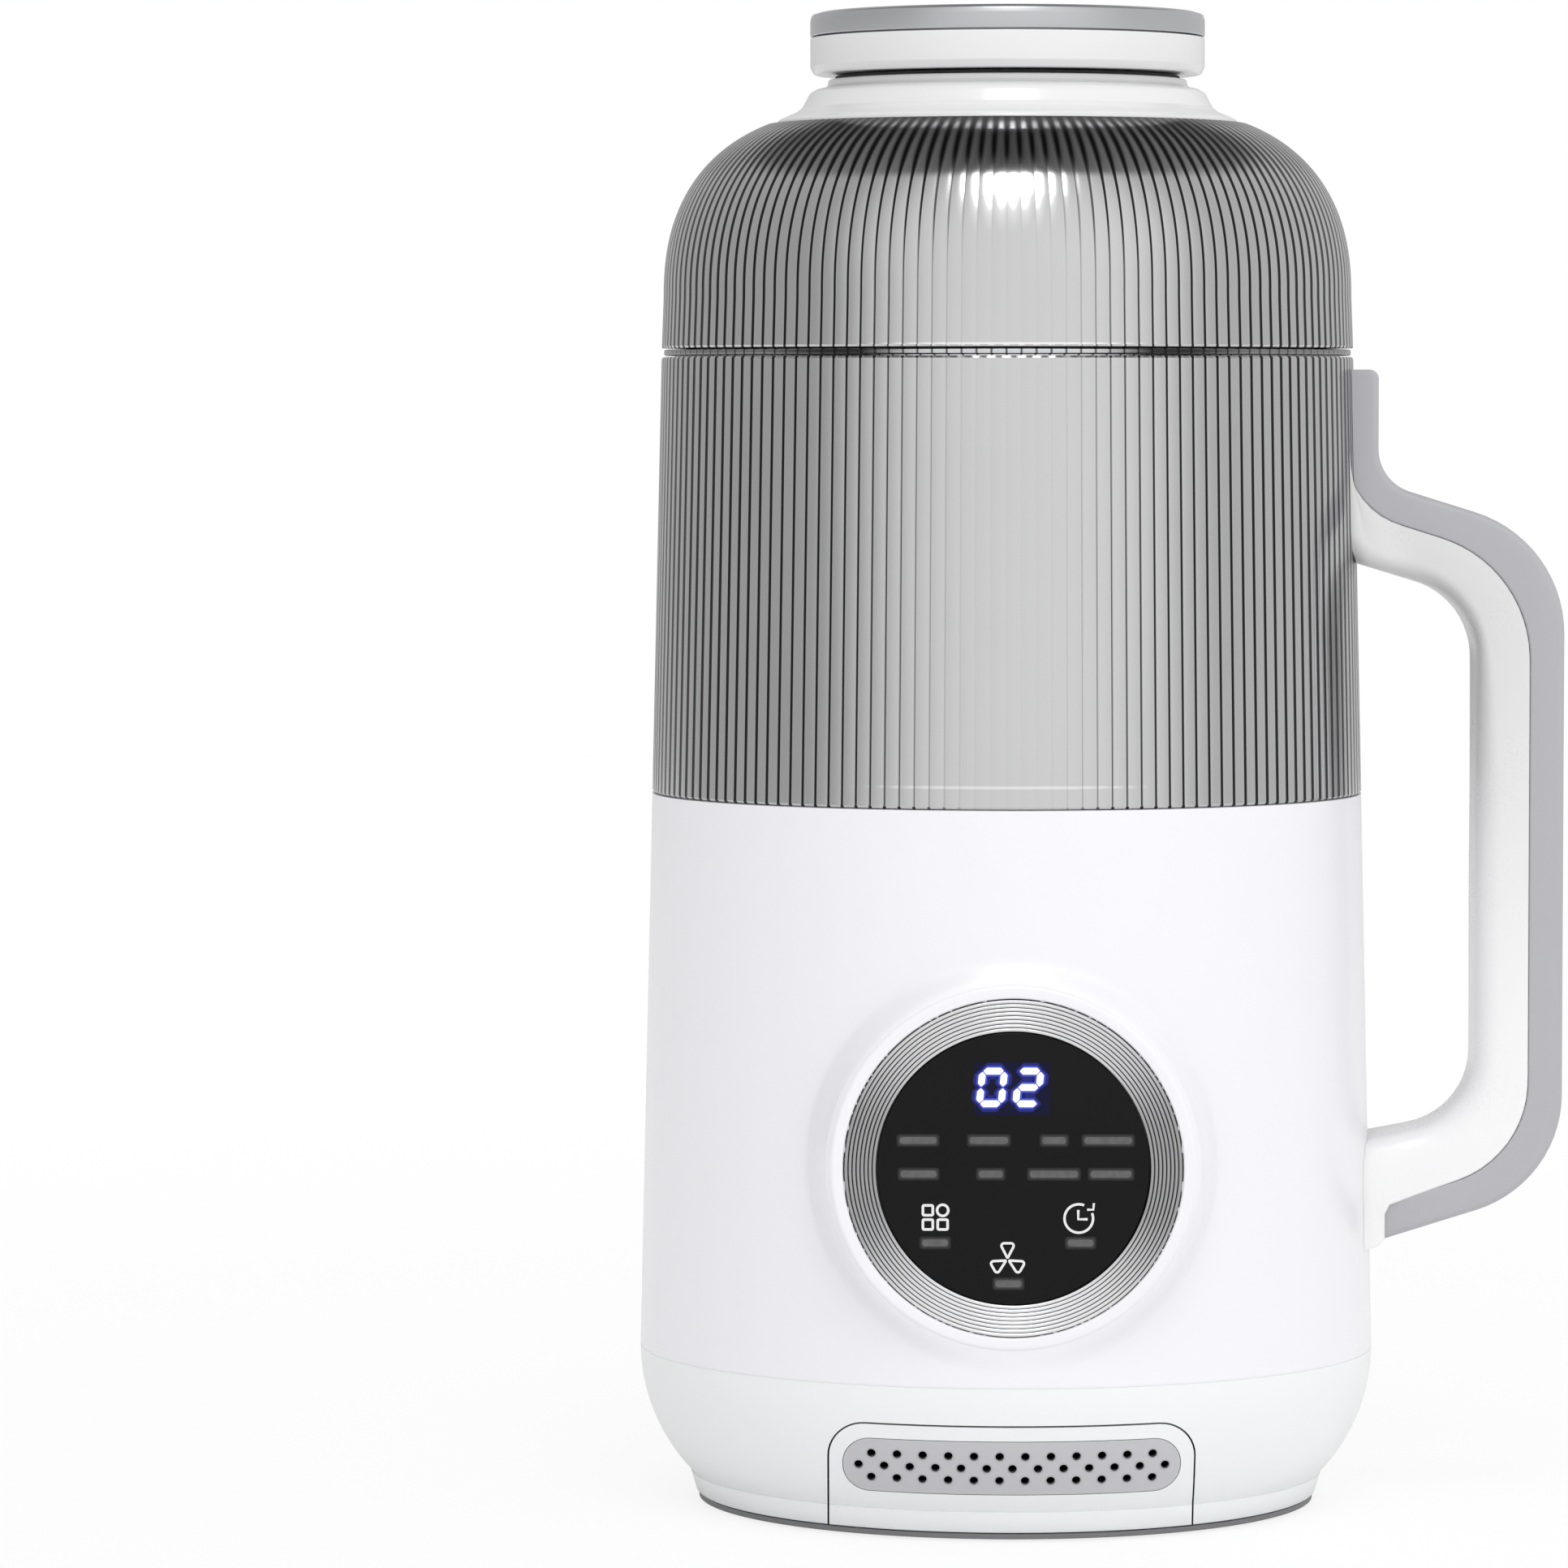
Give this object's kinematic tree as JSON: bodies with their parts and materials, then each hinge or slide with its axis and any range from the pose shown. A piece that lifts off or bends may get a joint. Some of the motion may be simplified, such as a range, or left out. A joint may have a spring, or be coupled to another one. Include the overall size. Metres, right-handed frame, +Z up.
{
  "type": "soy milk maker",
  "caption": "Countertop soy milk maker: white body with a round panel, fluted smoked sleeve and domed lift-off lid, capped filling hole, side handle, blade in a steel pot.",
  "frame": {"origin": "middle of the footprint, handle included, on the plane under the feet", "axes": "+Z up along the body's axis, which stands 19.45 mm towards -X from the origin; +X towards the handle; -Y towards the control panel"},
  "size_m": [0.1868, 0.1506, 0.2998],
  "materials": {
    "white_plastic": "satin, softly glossy moulded plastic",
    "grey_plastic": "satin moulded plastic",
    "dark_plastic": "satin moulded plastic",
    "rubber": "matte",
    "silicone": "matte, translucent",
    "steel": "brushed",
    "aluminium": "as cast",
    "brass": "plated",
    "board": "lacquered board",
    "black_glass": "mirror-smooth",
    "smoked_plastic": "clear smoked plastic, fluted outside",
    "magnet": "matte",
    "iron": "laminated, lacquered"
  },
  "bodies": {
    "base": {"base_plate": "grey_plastic", "base_screw_1": "steel", "base_screw_2": "steel", "base_screw_3": "steel", "base_screw_4": "steel", "base_skirt": "white_plastic", "blade_seat": "steel", "capacitor": "aluminium", "clear_sleeve": "smoked_plastic", "control_board": "board", "deck": "dark_plastic", "display_module": "dark_plastic", "foot_1": "rubber", "foot_2": "rubber", "foot_3": "rubber", "foot_4": "rubber", "handle_cover": "grey_plastic", "handle_screw_lower": "steel", "handle_screw_upper": "steel", "handle_shell": "white_plastic", "heating_plate": "aluminium", "inlet_pin_1": "brass", "inlet_pin_2": "brass", "inlet_pin_3": "brass", "lower_bearing": "steel", "magnet_left": "magnet", "magnet_right": "magnet", "main_housing": "white_plastic", "motor_can": "steel", "motor_end_cap": "dark_plastic", "panel_glass": "black_glass", "panel_ring": "aluminium", "pot": "steel", "power_board": "board", "power_inlet": "dark_plastic", "relay": "dark_plastic", "rim_ring": "steel", "seat_nut": "steel", "shaft_seal": "silicone", "thermostat": "dark_plastic", "upper_bearing": "steel", "vent_grille": "grey_plastic", "vent_panel": "white_plastic"},
    "lid": {"lid_dome": "smoked_plastic", "lid_liner": "grey_plastic", "lid_gasket": "silicone", "lid_collar": "white_plastic"},
    "cap": {"cap_shell": "white_plastic", "cap_disc": "grey_plastic", "cap_plug": "white_plastic", "cap_seal": "silicone", "cap_gasket": "silicone"},
    "rotor": {"drive_shaft": "steel", "lower_blade": "steel", "upper_blade": "steel", "blade_nut": "steel", "motor_rotor": "iron", "motor_fan": "dark_plastic"}
  },
  "joints": [
    {"name": "lid_lift", "type": "slide", "parent": "base", "child": "lid", "axis": [0, 0, 1], "range_m": [0, 0.09]},
    {"name": "cap_lift", "type": "slide", "parent": "lid", "child": "cap", "axis": [0, 0, 1], "range_m": [0, 0.03]},
    {"name": "blade_spin", "type": "hinge", "parent": "base", "child": "rotor", "pos_m": [-0.01945, 0, 0.1], "axis": [0, 0, 1], "continuous": true}
  ]
}
